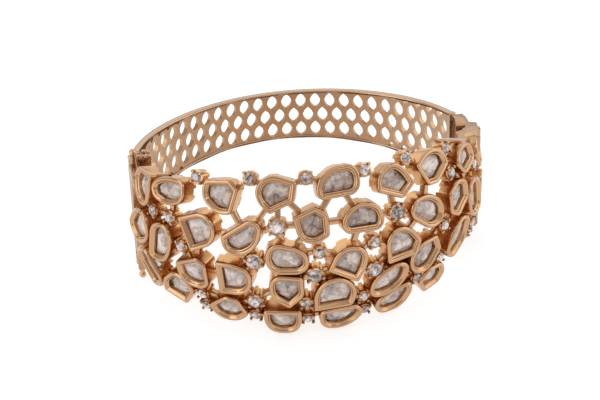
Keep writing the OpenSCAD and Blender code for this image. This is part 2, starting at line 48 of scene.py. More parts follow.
# How far the camera stands off, and how far left and down its view is centred
STAND_OFF, LEFTWARDS, DOWNWARDS = 303, 1.25, 2.65
right = Vector((math.cos(aim_side), math.sin(aim_side), 0))
back = Vector((math.sin(aim_side) * math.cos(aim_up), -math.cos(aim_side) * math.cos(aim_up),
               math.sin(aim_up)))
up = back.cross(right)
place = STAND_OFF * back - LEFTWARDS * right - DOWNWARDS * up
side = math.cos(roll) * right - math.sin(roll) * up
top = math.sin(roll) * right + math.cos(roll) * up
camera = bpy.data.objects.new("camera", bpy.data.cameras.new("camera"))
camera.data.lens = 100.8
camera.data.sensor_width = 36
camera.data.clip_start = 0.01
view_turn = Matrix((side, top, back)).transposed().to_4x4()
camera.matrix_world = Matrix.Translation(LAID @ place) @ laid_turn @ view_turn
bpy.context.scene.collection.objects.link(camera)
bpy.context.scene.camera = camera


# Light table
# The bangle lies on a sheet of white acrylic, lit a little from below, under wide softboxes and two
# narrow strips that put a glint on its rims. The room beyond them is grey, and the gold mirrors it.
class Tone:
    """A shader value that sums and products are written on."""

    def __init__(self, finish, socket):
        self.finish, self.socket = finish, socket

    def maths(self, operation, first, second):
        return self.finish.node("Math", {"operation": operation}, {0: first, 1: second})

    def __add__(self, other):
        return self.maths("ADD", self, other)

    def __sub__(self, other):
        return self.maths("SUBTRACT", self, other)

    def __rsub__(self, other):
        return self.maths("SUBTRACT", other, self)

    def __mul__(self, other):
        return self.maths("MULTIPLY", self, other)

    __radd__, __rmul__ = __add__, __mul__


class Finish:
    """A material whose nodes are made one by one."""

    def __init__(self, name):
        self.material = bpy.data.materials.new(name)
        self.material.use_nodes = True
        self.tree = self.material.node_tree
        self.shader = self.tree.nodes["Principled BSDF"]

    def node(self, kind, settings, inputs, output=0):
        made = self.tree.nodes.new("ShaderNode" + kind)
        for key, value in settings.items():
            if key == "stops":
                ramp = made.color_ramp.elements
                while len(ramp) < len(value):
                    ramp.new(0.5)
                for stop, (at, colour) in zip(ramp, value):
                    stop.position, stop.color = at, (*colour, 1)
            else:
                setattr(made, key, value)
        for key, value in inputs.items():
            self.put(made.inputs[key], value)
        return Tone(self, made.outputs[output])

    def put(self, socket, value):
        if isinstance(value, Tone):
            self.tree.links.new(value.socket, socket)
        elif socket.type == "RGBA":
            socket.default_value = (*value, 1)
        else:
            socket.default_value = value

    def set(self, **sockets):
        for key, value in sockets.items():
            self.put(self.shader.inputs[key.replace("_", " ")], value)


world = bpy.data.worlds.new("grey room")
bpy.context.scene.world = world
world.use_nodes = True
world.node_tree.nodes["Background"].inputs["Color"].default_value = (1, 0.98, 0.96, 1)
world.node_tree.nodes["Background"].inputs["Strength"].default_value = 0.6
sheet = bmesh.new()
bmesh.ops.create_grid(sheet, x_segments=1, y_segments=1, size=1.5)
sheet_mesh = bpy.data.meshes.new("light_table")
sheet.to_mesh(sheet_mesh)
sheet.free()
light_table = bpy.data.objects.new("light_table", sheet_mesh)
bpy.context.scene.collection.objects.link(light_table)
acrylic = Finish("white acrylic")
haze = acrylic.node("TexNoise", {}, {"Scale": 30.0, "Detail": 2.0})
acrylic.set(Base_Color=(0.45, 0.45, 0.45), Roughness=0.55 + 0.1 * haze, Emission_Color=(1, 1, 1),
            Emission_Strength=0.66)
sheet_mesh.materials.append(acrylic.material)
for name, spot, size, power in (("overhead softbox", (0.0, 0.1, 0.75), (0.9, 0.7), 0.95),
                                ("left softbox", (-0.6, -0.2, 0.3), (0.5, 0.6), 1.45),
                                ("right softbox", (0.6, -0.1, 0.25), (0.8, 0.5), 1.6),
                                ("back softbox", (0.0, 0.8, 0.42), (1.8, 0.5), 2.1),
                                ("strip light", (0.25, -0.5, 0.55), (0.5, 0.06), 0.35),
                                ("small strip light", (-0.4, 0.1, 0.6), (0.06, 0.4), 0.25)):
    lamp = bpy.data.lights.new(name, "AREA")
    lamp.color = (0.88, 0.95, 1.0)
    lamp.shape = "RECTANGLE"
    lamp.size, lamp.size_y = size
    lamp.energy = power
    stand = bpy.data.objects.new(name, lamp)
    stand.location = spot
    stand.rotation_euler = (Vector(spot) - Vector((0, 0, 0.015))).to_track_quat("Z", "Y").to_euler()
    bpy.context.scene.collection.objects.link(stand)
bpy.context.scene.view_settings.view_transform = "Standard"

# Bezels
# Each flat stone sits in its own deep tube of rose gold, open at the back, with a thick polished rim
# and a lower step inside it. The tube's back edge is notched. The front is soldered in one piece.
# Half the length and half the width of the front's oval, and the radius of its dome
FRONT_OVAL, DOME_RADIUS = (32.8, 28.0), 34.0
# From which angle the front is set in towards the clasp, over how many degrees, how far, and how much
# more for each millimetre below its middle
TUCK_FROM, TUCK_OVER, TUCK, LOW_TUCK = 52, 12, 0.9, 0.12
# What one step of a corner's rounding is in millimetres
ROUNDED = 1.25
# Name of the stone: angle from the front, height, and the corners of the rim in its own plane,
# clockwise from the left: along the front, along the bangle's axis, and the rounding
BEZELS = {
    "polki_01": (-72, 8, [
        (-2.9, 1.2, 0.7), (-2.1, 3.2, 0.4), (2.7, 3.5, 0.3), (2.9, -2, 0.8), (1.2, -3, 0.8),
        (-1.5, -1.9, 1.6)]),
    "polki_02": (-53.8, 10, [
        (-4.1, 0.9, 1.2), (-1, 2.8, 2.4), (3.2, 3.1, 1), (3.8, -0.6, 1.2), (0.2, -2.6, 2.2),
        (-3.6, -1.7, 1.2)]),
    "polki_03": (-33.5, 11.6, [
        (-3.3, 2.5, 0.5), (1.2, 3.2, 0.3), (2.9, 1.7, 0.3), (2, -2.7, 0.5), (-0.6, -3, 1.3),
        (-3.7, -0.6, 1.6)]),
    "polki_04": (-17.5, 13, [
        (-3.6, 1.4, 1.8), (-1.2, 3.3, 1.8), (3.3, 2, 0.3), (2.9, -1.4, 0.3), (-1.2, -3.5, 0.3),
        (-3.5, -1.3, 1.5)]),
    "polki_05": (0.5, 14, [
        (-4, 0.6, 1.2), (-1.6, 3, 2), (2.9, 3.1, 1.5), (3.8, 0.4, 1.4), (2.9, -2.1, 1),
        (-3.9, -2.4, 1)]),
    "polki_06": (16.5, 12.5, [
        (-2.6, 2, 1.2), (0.6, 3.6, 1.3), (2.7, 2, 1.3), (4.2, -1.1, 0.3), (1.4, -3.2, 0.4),
        (-3.1, -0.9, 0.5)]),
    "polki_07": (31.5, 12.4, [
        (-3.7, 1.4, 0.4), (-0.4, 3.4, 1.8), (3, 2.4, 1.6), (3.6, -0.6, 0.5), (0.2, -2.9, 0.4),
        (-2.1, -2.7, 0.4)]),
    "polki_08": (46.4, 10.3, [
        (-3.1, 0.3, 0.8), (-1, 2.8, 1.2), (2.8, 2.4, 1.2), (3.1, -1.2, 1), (-1.2, -2.6, 0.9)]),
    "polki_09": (72, 7, [
        (-3, 3.2, 2.9), (3, 3.2, 2.9), (3, -3.2, 2.9), (-3, -3.2, 2.9)]),
    "polki_10": (-71, 0.5, [
        (-4.6, -0.7, 1.2), (-1.6, 3.8, 1.6), (2.4, 3.6, 1.8), (3, -1.6, 1.8), (-1.6, -3.9, 1.5)]),
    "polki_11": (-57, 0.2, [
        (-2.3, 2.8, 1.2), (0.2, 4.3, 1.2), (2.8, 3.4, 1.3), (2.9, -0.4, 1.6), (0.9, -3.9, 1.2),
        (-3.2, -3.9, 1)]),
    "polki_12": (-40, 4.9, [
        (-4, 1.8, 0.4), (0.6, 3.9, 1.8), (3.2, 2.4, 1.8), (3.5, -1.4, 1.8), (-1.2, -4, 0.3)]),
    "polki_13": (-26.5, 4.9, [
        (-4.1, 0.2, 0.5), (1, 4, 1.2), (3.1, 3, 1.5), (2.6, -1.2, 2), (-0.9, -3.3, 1.8),
        (-3.5, -2.3, 1.5)]),
    "polki_14": (-7.5, 7.5, [
        (-3.5, 1.8, 0.3), (0.4, 3.5, 0.3), (2.5, 2, 0.3), (2.7, -1.7, 0.4), (0.4, -3.2, 1.2),
        (-2.5, -2.4, 1.8)]),
    "polki_15": (6.5, 7.6, [
        (-4.1, 0.6, 1.2), (-1.6, 3.1, 1.8), (1.6, 3.1, 1.8), (3.8, 0.9, 1.3), (3.2, -2.3, 1.1),
        (-3.6, -2, 1.1)]),
    "polki_16": (26.5, 5.5, [
        (-4, 0.5, 1), (-3, 3.1, 1.1), (0.4, 3.5, 1.6), (3.6, 1.2, 1.3), (3.5, -2.6, 1.3),
        (0.4, -3.5, 1.1)]),
    "polki_17": (39.5, 4.9, [
        (-2.6, 1.9, 0.5), (0.4, 3.5, 0.8), (2.8, 2.4, 0.9), (2.8, -0.9, 0.5), (-0.6, -3.3, 0.4),
        (-2.8, -2, 0.5)]),
    "polki_18": (49.5, 2.6, [
        (-2.4, 3.6, 2.3), (2.4, 3.6, 2.3), (2.4, -3.6, 2.3), (-2.4, -3.6, 2.3)]),
    "polki_19": (-69, -7.4, [
        (-3.7, 0.4, 1), (-2.9, 3.2, 0.9), (0.4, 4.3, 0.9), (3.7, -0.6, 1), (2.9, -3.2, 0.9),
        (-0.4, -4.3, 0.9)]),
    "polki_20": (-42.5, -3.5, [
        (-3.2, 1.4, 0.4), (1.2, 3.5, 0.3), (3.1, 2.3, 0.4), (3.3, -2.2, 0.8), (0.6, -3.4, 1.5),
        (-2.6, -2.2, 1.6)]),
    "polki_21": (-29.5, -3, [
        (-3.3, 3.1, 0.3), (0.9, 3.1, 1.2), (3.2, 1.6, 1.6), (2.9, -1.8, 1.6), (1, -3.3, 1),
        (-2.9, -3.3, 0.3)]),
    "polki_22": (-15, 1.6, [
        (-4, 0.6, 1.5), (-2.4, 3.3, 1.4), (2.6, 2.2, 1.6), (4.2, -0.3, 1.2), (2.8, -2.7, 1.6),
        (-2.6, -2.8, 1.8)]),
    "polki_23": (2, 0.1, [
        (-3.9, -0.9, 0.3), (-2.2, 2.6, 1.6), (0.6, 3.6, 1.6), (3.3, 2, 1.6), (3.1, -1, 1.6),
        (1.4, -4, 0.4)]),
    "polki_24": (18, 1.5, [
        (-3.6, 1.7, 1.2), (-1.2, 3.7, 1.4), (1.6, 2.6, 1.6), (3.6, -0.3, 0.4), (2.4, -2.9, 0.5),
        (-3.3, -3.1, 0.4)]),
    "polki_25": (26, -2.5, [
        (-3.9, 0.9, 1.6), (-1.8, 2.8, 1.6), (2.1, 3.1, 0.5), (3.2, 0.1, 0.4), (0.8, -3.5, 1.2),
        (-2, -3.7, 1.5), (-3.9, -1.6, 1.6)]),
    "polki_26": (39, -2.7, [
        (-3.4, -2.5, 0.8), (-2.3, 1.6, 1), (1.2, 4, 0.8), (3.4, 2.5, 0.8), (2.3, -1.6, 1),
        (-1.2, -4, 0.8)]),
    "polki_27": (70, -8, [
        (-2.8, 3.1, 2.7), (2.8, 3.1, 2.7), (2.8, -3.1, 2.7), (-2.8, -3.1, 2.7)]),
    "polki_28": (-50, -8.2, [
        (-3.6, 0.6, 0.8), (-0.6, 3.6, 0.8), (2, 3.2, 0.8), (3.6, 0.2, 0.8), (1, -3.6, 0.4),
        (-3.9, -2.2, 0.4)]),
    "polki_29": (-15.5, -4.5, [
        (-2.9, 1.6, 1.2), (-1.4, 3.1, 0.8), (3, 2.7, 0.5), (3.2, -1.2, 0.7), (0.6, -4.1, 0.4),
        (-2.7, -1.9, 1.2)]),
    "polki_30": (-1.5, -6.1, [
        (-4, 1.4, 1.5), (-1.2, 3.9, 1.8), (1.8, 3.4, 1.8), (3.8, 0.4, 1.5), (2.8, -2.9, 0.6),
        (-3.9, -3.3, 0.5)]),
    "polki_31": (14, -5.8, [
        (-4.1, 0.1, 1.2), (-2.4, 2.4, 1.2), (1.2, 4.1, 1.4), (3.6, 3.1, 1.2), (3.3, -0.4, 1.6),
        (0.2, -2.8, 1.6), (-3.4, -2.6, 1.2)]),
    "polki_32": (29.5, -8.9, [
        (-3.4, 0.4, 0.6), (-1.6, 2.9, 0.8), (2, 2.9, 0.8), (3.2, 0.4, 0.7), (2.2, -2, 0.4),
        (-1.4, -2.8, 0.4)]),
    "polki_33": (-31.5, -10.3, [
        (-4.2, 0.4, 0.5), (-1, 3.3, 0.6), (1.3, 2.9, 0.5), (3, -0.8, 0.8), (0.4, -3.3, 2),
        (-3.2, -2.6, 1.8)]),
    "polki_34": (-17, -12.4, [
        (-3.1, 3.1, 0.4), (3.4, 3.2, 0.4), (3.4, -0.6, 1.8), (2, -3.2, 1.8), (-1.7, -3.2, 1.8),
        (-3.2, -0.8, 1.8)]),
    "polki_35": (0, -11.8, [
        (-4, 2.3, 1.2), (3, 2.8, 1.2), (4.1, 0.6, 1), (2.6, -2.2, 1.6), (-0.4, -3.4, 1.8),
        (-3.4, -2.3, 1.8)]),
    "polki_36": (16.5, -10.4, [
        (-4.2, 0.2, 1), (-2, 2.4, 1.2), (2.6, 3.6, 0.8), (3.6, 1.2, 1.2), (2, -2.8, 1.6),
        (-2.8, -3, 1.6)]),
    "polki_37": (71, -0.6, [
        (-2.7, 0, 1.2), (-1.2, 3.6, 0.9), (1.2, 3.6, 0.9), (2.7, 0, 1.2), (1.2, -3.6, 0.9),
        (-1.2, -3.6, 0.9)]),
}


def arc_of(oval, angle):
    """Centre and radius of the arc of an oval that faces an angle in degrees."""
    shift = (oval[0] - oval[1]) / (2 - math.sqrt(2))
    c, s = math.cos(math.radians(angle)), math.sin(math.radians(angle))
    if abs(c) > abs(s):
        return Vector((math.copysign(shift, c), 0)), oval[0] - shift
    return Vector((0, -math.copysign(shift, s))), oval[0] - shift + shift * math.sqrt(2)


def oval_point(oval, angle, out=0.0):
    centre, radius = arc_of(oval, angle)
    turn = math.radians(angle)
    return centre + (radius + out) * Vector((math.cos(turn), math.sin(turn)))


def dome_point(angle, height, below=0.0):
    """A point of the dome, a little below its rims, set in towards the clasp."""
    drop = DOME_RADIUS - math.sqrt(DOME_RADIUS ** 2 - height ** 2)
    tuck = max(0, min(1, (angle - TUCK_FROM) / TUCK_OVER)) * (TUCK + LOW_TUCK * max(0, -height))
    tilt = math.asin(height / DOME_RADIUS)
    flat = oval_point(FRONT_OVAL, angle - 90, -drop - tuck - below * math.cos(tilt))
    return Vector((flat.x, flat.y, height - below * math.sin(tilt)))


def on_dome(angle, height):
    """Where a setting stands on the dome: its Z points outwards and its Y along the axis."""
    tilt = math.asin(height / DOME_RADIUS)
    return (Matrix.Translation(dome_point(angle, height)) @ Matrix.Rotation(math.radians(angle), 4, "Z")
            @ Matrix.Rotation(math.radians(90) - tilt, 4, "X"))


def add_part(group, part, place=Matrix.Identity(4)):
    """Puts a finished part into the mesh of its group and ends it."""
    bmesh.ops.transform(part, matrix=place, verts=part.verts)
    held = bpy.data.meshes.new("held")
    part.to_mesh(held)
    part.free()
    group.from_mesh(held)
    bpy.data.meshes.remove(held)


def draw_outline(corners, inset, height):
    """A face with a bezel's outline, moved in evenly by an inset, its corners rounded."""
    drawn = bmesh.new()
    face = drawn.faces.new([drawn.verts.new((x, y, height)) for x, y, _ in corners])
    face.normal_update()
    if inset > 0:
        edging = bmesh.ops.inset_individual(drawn, faces=[face], thickness=inset, use_even_offset=True)
        bmesh.ops.delete(drawn, geom=edging["faces"], context="FACES")
    points = list(face.verts)
    spots = [point.co.copy() for point in points]
    for i, (_, _, rounding) in enumerate(corners):
        before, after = spots[i - 1] - spots[i], spots[(i + 1) % len(spots)] - spots[i]
        cut = max(ROUNDED * rounding - inset / math.tan(before.angle(after) / 2), 0.1)
        cut = min(cut, 0.49 * before.length, 0.49 * after.length)
        bmesh.ops.bevel(drawn, geom=[points[i]], offset=cut, affect="VERTICES", profile=0.5, material=-1,
                        segments=8 if rounding > 1.1 else 4)
    return drawn


def draw_out(part, faces, way):
    """Draws a copy of some faces out by a vector, with walls between the faces and the copy."""
    drawn = bmesh.ops.extrude_face_region(part, geom=faces)["geom"]
    bmesh.ops.translate(part, vec=way, verts=[g for g in drawn if isinstance(g, bmesh.types.BMVert)])


def notch_back(tube, back, low, cuts, width):
    """Draws the back edge of a tube out between notches that run across it."""
    ways = [Vector((-math.sin(math.radians(cut)), math.cos(math.radians(cut)), 0)) for cut in cuts]
    for way in ways:
        for off in (-width / 2, width / 2):
            parts = dict.fromkeys(back)
            for face in back:
                parts.update(dict.fromkeys([*face.edges, *face.verts]))
            split = bmesh.ops.bisect_plane(tube, geom=list(parts), dist=0.0001, plane_co=way * off,
                                           plane_no=way)
            back = [g for g in split["geom"] if isinstance(g, bmesh.types.BMFace)]
    teeth = [f for f in back if all(abs(f.calc_center_median().dot(way)) > width / 2 for way in ways)]
    foot = max(point.co.z for face in teeth for point in face.verts)
    draw_out(tube, teeth, (0, 0, low - foot))


def keep_place(part):
    """Notes where each point lies in its own setting, for its finish to follow, painted colour included."""
    layer = part.verts.layers.float_vector.new("setting_place")
    for point in part.verts:
        point[layer] = point.co


# The section of a bezel, from the foot of its outer wall over the rim and down inside it to its open
# back: inset and height
SECTION = [
    (0, -2.65), (0, -0.9), (0, -0.42), (0.03, -0.25), (0.1, -0.12), (0.21, -0.03), (0.36, 0),
    (0.52, -0.02), (0.64, -0.08), (0.73, -0.17), (0.79, -0.27), (0.84, -0.35), (0.9, -0.39),
    (0.97, -0.41), (1.02, -0.46), (1.05, -0.55), (1.05, -0.75), (1.05, -1.9), (1.6, -1.92), (1.6, -2.66)]
front_bezels = bmesh.new()
front_bezels.verts.layers.float_vector.new("setting_place")
for angle, height, corners in BEZELS.values():
    bezel = bmesh.new()
    ends = [0]
    for inset, level in SECTION:
        add_part(bezel, draw_outline(corners, inset, level))
        ends.append(len(bezel.edges))
    bmesh.ops.delete(bezel, geom=bezel.faces[:], context="FACES_ONLY")
    bezel.edges.ensure_lookup_table()
    rings = [bezel.edges[a:b] for a, b in zip(ends, ends[1:])]
    for ring, next_ring in zip(rings, rings[1:]):
        bmesh.ops.bridge_loops(bezel, edges=ring + next_ring)
    back_edge = bmesh.ops.bridge_loops(bezel, edges=rings[-1] + rings[0])["faces"]
    notch_back(bezel, back_edge, low=-3.2, cuts=(15, 75, 135), width=1.2)
    bmesh.ops.recalc_face_normals(bezel, faces=bezel.faces)
    keep_place(bezel)
    add_part(front_bezels, bezel, on_dome(angle, height))


def rose_gold(name, pale, painted_hollow, polish):
    """Rose gold plating, duller down the walls, which carry fine draw lines and a painted reflection of
    gold.
    """
    gold = Finish(name)
    where = gold.node("TexCoord", {}, {}, "Object")
    inside = gold.node("Attribute", {"attribute_name": "setting_place"}, {}, "Vector")
    # How far down its wall a point lies: it dulls the finish, strengthens the draw lines and paints the
    # hollow colour there
    depth = gold.node("MapRange", {}, {"Value": gold.node("SeparateXYZ", {}, {0: inside}, "Z"),
                                       "From Min": -0.3, "From Max": -1.6})
    along = gold.node("VectorMath", {"operation": "MULTIPLY"}, {0: inside, 1: (5.0, 5.0, 0.25)})
    lines = gold.node("TexNoise", {}, {"Vector": along, "Scale": 1.0, "Detail": 3.0}) * depth
    cloud = gold.node("TexNoise", {}, {"Vector": where, "Scale": 260.0, "Detail": 3.0})
    grain = gold.node("TexNoise", {}, {"Vector": where, "Scale": 2600.0, "Detail": 2.0})
    # The colour turns from pale to the painted colour down each wall, a painted reflection of gold in gold
    # in the hollows; the cloud and the draw lines vary it
    tone = 0.8 * depth + 0.35 * (cloud - 0.5) + 0.15 * (lines - 0.5 * depth)
    colour = gold.node("ValToRGB", {"stops": [(0.0, pale), (0.9, painted_hollow)]}, {"Fac": tone})
    relief = 0.4 * cloud + 0.25 * grain + 0.5 * lines
    bump = gold.node("Bump", {}, {"Strength": 0.25, "Distance": 0.0001, "Height": relief})
    gold.set(Base_Color=colour, Metallic=1.0, Coat_Weight=0.1, Coat_Roughness=0.06,
             Roughness=polish + 0.12 * grain + 0.12 * depth, Normal=bump)
    return gold.material


def make_piece(name, shape, finish, body, stands_for=(), sharp=35):
    """Lays a mesh down with the bangle and makes it an object on a body, smooth up to a sharp angle."""
    bmesh.ops.transform(shape, matrix=LAID, verts=shape.verts)
    mesh = bpy.data.meshes.new(name)
    for face in shape.faces:
        face.smooth = sharp > 0
    shape.to_mesh(mesh)
    shape.free()
    if sharp > 0:
        mesh.set_sharp_from_angle(angle=math.radians(sharp))
    mesh.materials.append(finish)
    piece = bpy.data.objects.new(name, mesh)
    bpy.context.scene.collection.objects.link(piece)
    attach(piece, body)
    if stands_for:
        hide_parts(*stands_for)


# Its second colour is painted reflection: the deep orange glow of gold mirrored in gold, painted down the
# walls of the bezels and cups
front_gold = rose_gold("front rose gold", (0.53, 0.31, 0.17), (0.74, 0.405, 0.17), 0.1)

# Flat stones
# Thin uncut stones, each ground to its bezel: a flat back, a thin edge and a low crown of a few
# uneven facets. They are warm grey, with cloudy patches and fine cracks, and one of them is clear. Each
# facet is also painted lighter or darker as a whole, a painted reflection of the light it catches.


def grind(stone, spot, slope):
    """Grinds one facet: takes off what lies beyond a plane and closes the cut."""
    cut = bmesh.ops.bisect_plane(stone, geom=stone.verts[:] + stone.edges[:] + stone.faces[:], dist=0.00001,
                                 plane_co=spot, plane_no=slope, clear_outer=True)["geom_cut"]
    rim = [g for g in cut if isinstance(g, bmesh.types.BMEdge)]
    if rim:
        bmesh.ops.contextual_create(stone, geom=rim)


def lean(way, tilt):
    """The slope of a facet that leans towards a level way by an angle in degrees."""
    return way * math.sin(math.radians(tilt)) + Vector((0, 0, math.cos(math.radians(tilt))))


def tint_facets(stone, chance, shade=0.0):
    """Gives every facet its own tone, which its finish turns into light and dark: painted reflection."""
    tone = stone.faces.layers.float.get("facet_tone") or stone.faces.layers.float.new("facet_tone")
    for facet in stone.faces:
        facet[tone] = shade + chance.random()


def stone_finish(name, stops, roughness, fine=1.0):
    """A stone of many tones: each patch and chip has its own, each facet a painted reflection, and thin
    dark cracks cross it.
    """
    stone = Finish(name)
    where = stone.node("TexCoord", {}, {}, "Object")
    tone = stone.node("Attribute", {"attribute_name": "facet_tone"}, {}, "Fac")
    bent = stone.node("TexNoise", {}, {"Vector": where, "Scale": 900.0 * fine, "Detail": 2.0}, "Color")
    shifted = stone.node("VectorMath", {"operation": "MULTIPLY_ADD"}, {0: bent, 1: (0.0008,) * 3, 2: where})
    flaws = stone.node("TexVoronoi", {}, {"Vector": shifted, "Scale": 800.0 * fine}, "Color")
    chips = stone.node("SeparateColor", {}, {0: flaws}, 0)
    edges = stone.node("TexVoronoi", {"feature": "DISTANCE_TO_EDGE"},
                       {"Vector": shifted, "Scale": 450.0 * fine})
    cracks = stone.node("MapRange", {}, {"Value": edges, "From Min": 0.03, "From Max": 0.12,
                                         "To Min": 1.0, "To Max": 0.0})
    cloud = stone.node("TexNoise", {}, {"Vector": where, "Scale": 500.0 * fine, "Detail": 5.0,
                                        "Distortion": 1.0})
    speckle = stone.node("TexNoise", {}, {"Vector": where, "Scale": 2600.0, "Detail": 1.0})
    mixed = (0.35 * tone + 0.3 * chips + 0.7 * (cloud - 0.5) + 0.4 * (speckle - 0.5) - 0.2 * cracks
             + 0.22)
    colour = stone.node("ValToRGB", {"stops": stops}, {"Fac": mixed})
    bump = stone.node("Bump", {}, {"Strength": 0.25, "Distance": 0.0002, "Height": chips})
    stone.set(Base_Color=colour, Roughness=roughness + 0.15 * cloud, Normal=bump, IOR=1.6, Coat_Weight=0.5)
    return stone.material


# Each facet's tone is painted reflection on top of the stone's warm grey
flat_stone = stone_finish("warm grey stone", [
    (0.05, (0.14, 0.09, 0.075)), (0.25, (0.33, 0.245, 0.205)), (0.5, (0.46, 0.365, 0.32)),
    (0.8, (0.72, 0.61, 0.56))], 0.08)
clear_stone = stone_finish("clear stone", [
    (0.1, (0.55, 0.50, 0.48)), (0.3, (0.85, 0.82, 0.80)), (0.6, (0.95, 0.93, 0.92))], 0.03)
clear_stone.node_tree.nodes["Principled BSDF"].inputs["Transmission Weight"].default_value = 0.85
# How much lighter or darker than the rest a stone is
SHADES = {
    "polki_01": 0.1, "polki_03": 0.15, "polki_06": 0.2, "polki_09": 0.3, "polki_12": 0.3, "polki_13": 0.1,
    "polki_14": -0.3, "polki_16": 0.3, "polki_20": 0.25, "polki_21": 0.2, "polki_22": -0.1,
    "polki_24": 0.1, "polki_26": 0.35, "polki_29": -0.1, "polki_30": 0.2, "polki_31": 0.25,
    "polki_34": -0.05, "polki_35": -0.15,
}
# How far inside the rim a stone's edge and its ground corners lie, how deep its back is, and how thick
# the rough piece is
STONE_INSET, CORNER_INSET, STONE_BACK, STONE_THICK = 1.1, 1.65, -1.85, 1.35
# Heights at which the facets of the sides, the back's edge, the corners and the middle are ground
SIDES, UNDERSIDE, CORNERS, MIDDLE = (Vector((0, 0, level)) for level in (-1.05, -1.5, -0.95, -0.62))
# The facets take their tones in their order along this slant, which is the same in every run
SLANT = Vector((1, 0.61, 0.37))
for name, (angle, height, corners) in BEZELS.items():
    chance = random.Random(name)
    stone = draw_outline(corners, STONE_INSET, STONE_BACK)
    draw_out(stone, stone.faces[:], (0, 0, STONE_THICK))
    bmesh.ops.recalc_face_normals(stone, faces=stone.faces)
    for (x, y, _), (next_x, next_y, _) in zip(corners, corners[1:] + corners[:1]):
        outward = Vector((y - next_y, next_x - x, 0)).normalized()
        spot = Vector((x + next_x, y + next_y, 0)) / 2 - STONE_INSET * outward
        grind(stone, spot + SIDES, lean(outward, chance.uniform(20, 38)))
        grind(stone, spot + UNDERSIDE, outward * 0.6 - Vector((0, 0, 0.8)))
        corner = Vector((x, y, 0))
        grind(stone, corner * (1 - CORNER_INSET / corner.length) + CORNERS,
              lean(corner.normalized(), chance.uniform(24, 32)))
    for _ in range(3):
        turn = chance.uniform(0, math.tau)
        way = Vector((math.cos(turn), math.sin(turn), 0))
        slope = lean(way, chance.uniform(4, 10))
        grind(stone, way * chance.uniform(0, 0.6) + MIDDLE, slope)
    stone.faces.sort(key=lambda facet: facet.calc_center_median().dot(SLANT))
    tint_facets(stone, chance, SHADES.get(name, 0))
    bmesh.ops.transform(stone, matrix=on_dome(angle, height), verts=stone.verts)
    finish = clear_stone if name == "polki_28" else flat_stone
    make_piece(name.replace("polki", "flat_stone"), stone, finish, "front", [name],
               sharp=0)

# Round stones
# Small brilliant-cut stones of glass: a table, rows of facets round it and a pointed back. Each is cut
# with a radius of 1 and then brought to its size. Their facets are painted from near black to near white,
# painted sparkle in place of the light that the glass mirrors and bends.
# Name of its cup: angle from the front, height, radius of the stone, and number of claws
CUPS = {
    "c01": (-42.5, 13.8, 0.95, 4), "c02": (-26, 15, 0.95, 4), "c03": (-63.5, 5.2, 0.95, 4),
    "c04": (-53, 5.5, 0.95, 4), "c05": (-46.5, 0.8, 0.95, 4), "c06": (-17.5, 7.3, 1.3, 8),
    "c07": (-24, 0.6, 1.3, 6), "c08": (-62, -5.2, 0.95, 4), "c09": (-41, -8.6, 0.95, 4),
    "c10": (-40.5, -11.4, 0.95, 4), "c11": (-24.5, -8.1, 1.3, 6), "c12": (-25, -11.7, 0.95, 4),
    "c13": (-9, 15.3, 0.95, 4), "c14": (9, 15.4, 0.95, 4), "c15": (23.5, 15.4, 0.95, 4),
    "c16": (39.5, 13.8, 0.95, 4), "c17": (39, 9.6, 0.95, 4), "c18": (59, 7, 0.95, 4),
    "c19": (17, 7.2, 1.3, 8), "c20": (60.5, 0.8, 0.95, 4), "c21": (9.5, 2.9, 0.95, 4),
    "c22": (-6, 2.5, 0.95, 4), "c23": (-7.5, -2, 1.3, 6), "c24": (9.5, -2.6, 1.3, 6),
    "c25": (33.5, 1, 0.95, 4), "c26": (32.5, -5.5, 0.95, 4), "c27": (24, -7.6, 0.95, 4),
    "c28": (6.5, -8.3, 0.95, 4), "c29": (7.5, -11.7, 0.95, 4), "c30": (-10, -8.1, 0.95, 4),
    "c31": (-9.5, -12.2, 0.95, 4), "c32": (50.5, -3.2, 0.95, 4), "c33": (58, -6.6, 0.95, 4),
}
# Tilt of a facet from the table, its turn in eighths, and a point that it runs through
FACETS = ((38, 0, (1, 0, 0.04)), (46, 0.5, (0.99, 0, 0.04)), (24, 0.5, (0.62, 0, 0.34)),
          (180 - 32, 0, (1, 0, -0.04)), (180 - 38, 0.5, (0.98, 0, -0.04)))
# Depth of a stone's widest edge below the rims
GIRDLE = 0.75
# Near-black to near-white facets: painted sparkle
round_stone = stone_finish("round stone", [
    (0.2, (0.08, 0.055, 0.045)), (0.35, (0.28, 0.21, 0.185)), (0.55, (0.52, 0.42, 0.39)),
    (0.8, (0.9, 0.81, 0.79))], 0.05, fine=2.0)
round_stones = bmesh.new()
round_stones.faces.layers.float.new("facet_tone")
for name, (angle, height, radius, _) in CUPS.items():
    gem = bmesh.new()
    bmesh.ops.create_cone(gem, cap_ends=True, segments=16, radius1=1, radius2=1, depth=1.2)
    for k in range(8):
        for tilt, shift, spot in FACETS:
            turn = Matrix.Rotation(math.tau * (k + shift) / 8, 3, "Z")
            grind(gem, turn @ Vector(spot), turn @ lean(Vector((1, 0, 0)), tilt))
    grind(gem, (0, 0, 0.36), (0, 0, 1))
    tint_facets(gem, random.Random(name))
    bmesh.ops.scale(gem, vec=(radius, radius, radius), verts=gem.verts)
    add_part(round_stones, gem, on_dome(angle, height) @ Matrix.Translation((0, 0, -GIRDLE))
             @ Matrix.Rotation(random.Random(name).uniform(0, 0.8), 4, "Z"))
make_piece("round_stones", round_stones, round_stone, "front", ["small_stones"], sharp=0)

# Prong cups
# Each round stone is held in a small open tube of cast gold, notched along its back like the bezels,
# by rounded claws that lap over the stone's edge.


